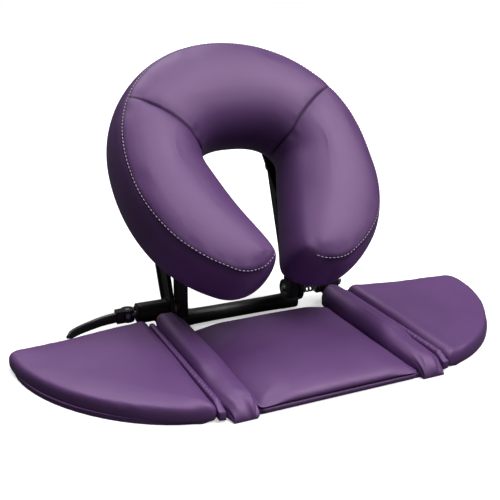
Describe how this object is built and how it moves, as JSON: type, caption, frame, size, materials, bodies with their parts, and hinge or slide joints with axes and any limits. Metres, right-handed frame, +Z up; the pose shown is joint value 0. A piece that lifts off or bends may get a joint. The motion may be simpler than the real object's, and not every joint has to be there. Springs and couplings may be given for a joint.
{
  "type": "face cradle",
  "caption": "Horseshoe face cushion on a tilting, swinging frame whose posts slide into the padded sleeves of a flat base with folding wings.",
  "frame": {"origin": "on the underside of the centre board, on its centre line, 114 mm in front of the sleeves' back ends", "axes": "+X to the right across the base, +Y towards the head end where the cradle stands, +Z up"},
  "size_m": [0.592, 0.3633, 0.3214],
  "materials": {
    "purple_vinyl": "smooth satin vinyl",
    "board_wood": "plain plywood",
    "black_moulding": "satin black moulding",
    "black_coated_steel": "satin black coating",
    "bright_steel": "zinc-bright steel",
    "chrome_bolt": "polished",
    "black_nylon": "matt nylon",
    "hook_and_loop": "black hook-and-loop"
  },
  "bodies": {
    "base": {"centre_board": "board_wood", "centre_pad": "purple_vinyl", "left_rail": "board_wood", "right_rail": "board_wood", "left_sleeve": "purple_vinyl", "right_sleeve": "purple_vinyl", "left_post_tube": "bright_steel", "right_post_tube": "bright_steel", "left_tube_bush": "black_nylon", "right_tube_bush": "black_nylon", "left_hinge_strip": "purple_vinyl", "right_hinge_strip": "purple_vinyl"},
    "left_wing": {"left_wing_board": "board_wood", "left_wing_pad": "purple_vinyl"},
    "right_wing": {"right_wing_board": "board_wood", "right_wing_pad": "purple_vinyl"},
    "post_carriage": {"left_post": "bright_steel", "right_post": "bright_steel", "left_post_head": "black_coated_steel", "right_post_head": "black_coated_steel", "left_clamp_rod": "bright_steel", "right_clamp_rod": "bright_steel", "left_clamp_nut": "bright_steel", "right_clamp_nut": "bright_steel", "right_inner_nut": "bright_steel", "cam_washer": "black_nylon", "cam_pin": "bright_steel", "clamp_spring": "bright_steel", "left_friction_washer": "black_nylon", "right_friction_washer": "black_nylon"},
    "swing_frame": {"crossbar_yoke": "black_moulding", "left_arm": "black_coated_steel", "right_arm": "black_coated_steel", "left_spacer": "bright_steel", "right_spacer": "bright_steel", "left_pivot_bolt": "chrome_bolt", "right_pivot_bolt": "chrome_bolt", "left_pivot_nut": "bright_steel", "right_pivot_nut": "bright_steel", "left_pivot_washer": "bright_steel", "right_pivot_washer": "bright_steel", "left_slot_bolt": "black_coated_steel", "right_slot_bolt": "black_coated_steel", "left_slot_nut": "bright_steel", "right_slot_nut": "bright_steel"},
    "platform": {"platform_board": "black_moulding", "left_bracket": "black_coated_steel", "right_bracket": "black_coated_steel", "left_bracket_screw_1": "bright_steel", "left_bracket_screw_2": "bright_steel", "left_bracket_screw_3": "bright_steel", "right_bracket_screw_1": "bright_steel", "right_bracket_screw_2": "bright_steel", "right_bracket_screw_3": "bright_steel", "crest_hook_strip": "hook_and_loop", "left_hook_strip": "hook_and_loop", "right_hook_strip": "hook_and_loop", "loop_backing": "hook_and_loop", "face_cushion": "purple_vinyl"},
    "cam_lever_body": {"cam_lever": "black_coated_steel"}
  },
  "joints": [
    {"name": "left_wing_fold", "type": "hinge", "parent": "base", "child": "left_wing", "pos_m": [-0.1335, 0, 0.014], "axis": [0, 1, 0], "range_deg": [0, 75]},
    {"name": "right_wing_fold", "type": "hinge", "parent": "base", "child": "right_wing", "pos_m": [0.1335, 0, 0.014], "axis": [0, -1, 0], "range_deg": [0, 75]},
    {"name": "post_slide", "type": "slide", "parent": "base", "child": "post_carriage", "axis": [0, 1, 0], "range_m": [0, 0.06]},
    {"name": "frame_swing", "type": "hinge", "parent": "post_carriage", "child": "swing_frame", "pos_m": [0, 0.134, 0.023], "axis": [-1, 0, 0], "range_deg": [0, 50]},
    {"name": "platform_tilt", "type": "hinge", "parent": "swing_frame", "child": "platform", "pos_m": [0, 0.202, 0.1685], "axis": [-1, 0, 0], "range_deg": [-4, 24]},
    {"name": "lever_turn", "type": "hinge", "parent": "post_carriage", "child": "cam_lever_body", "pos_m": [-0.1523, 0.134, 0.023], "axis": [0, 0, -1], "range_deg": [0, 85]}
  ]
}
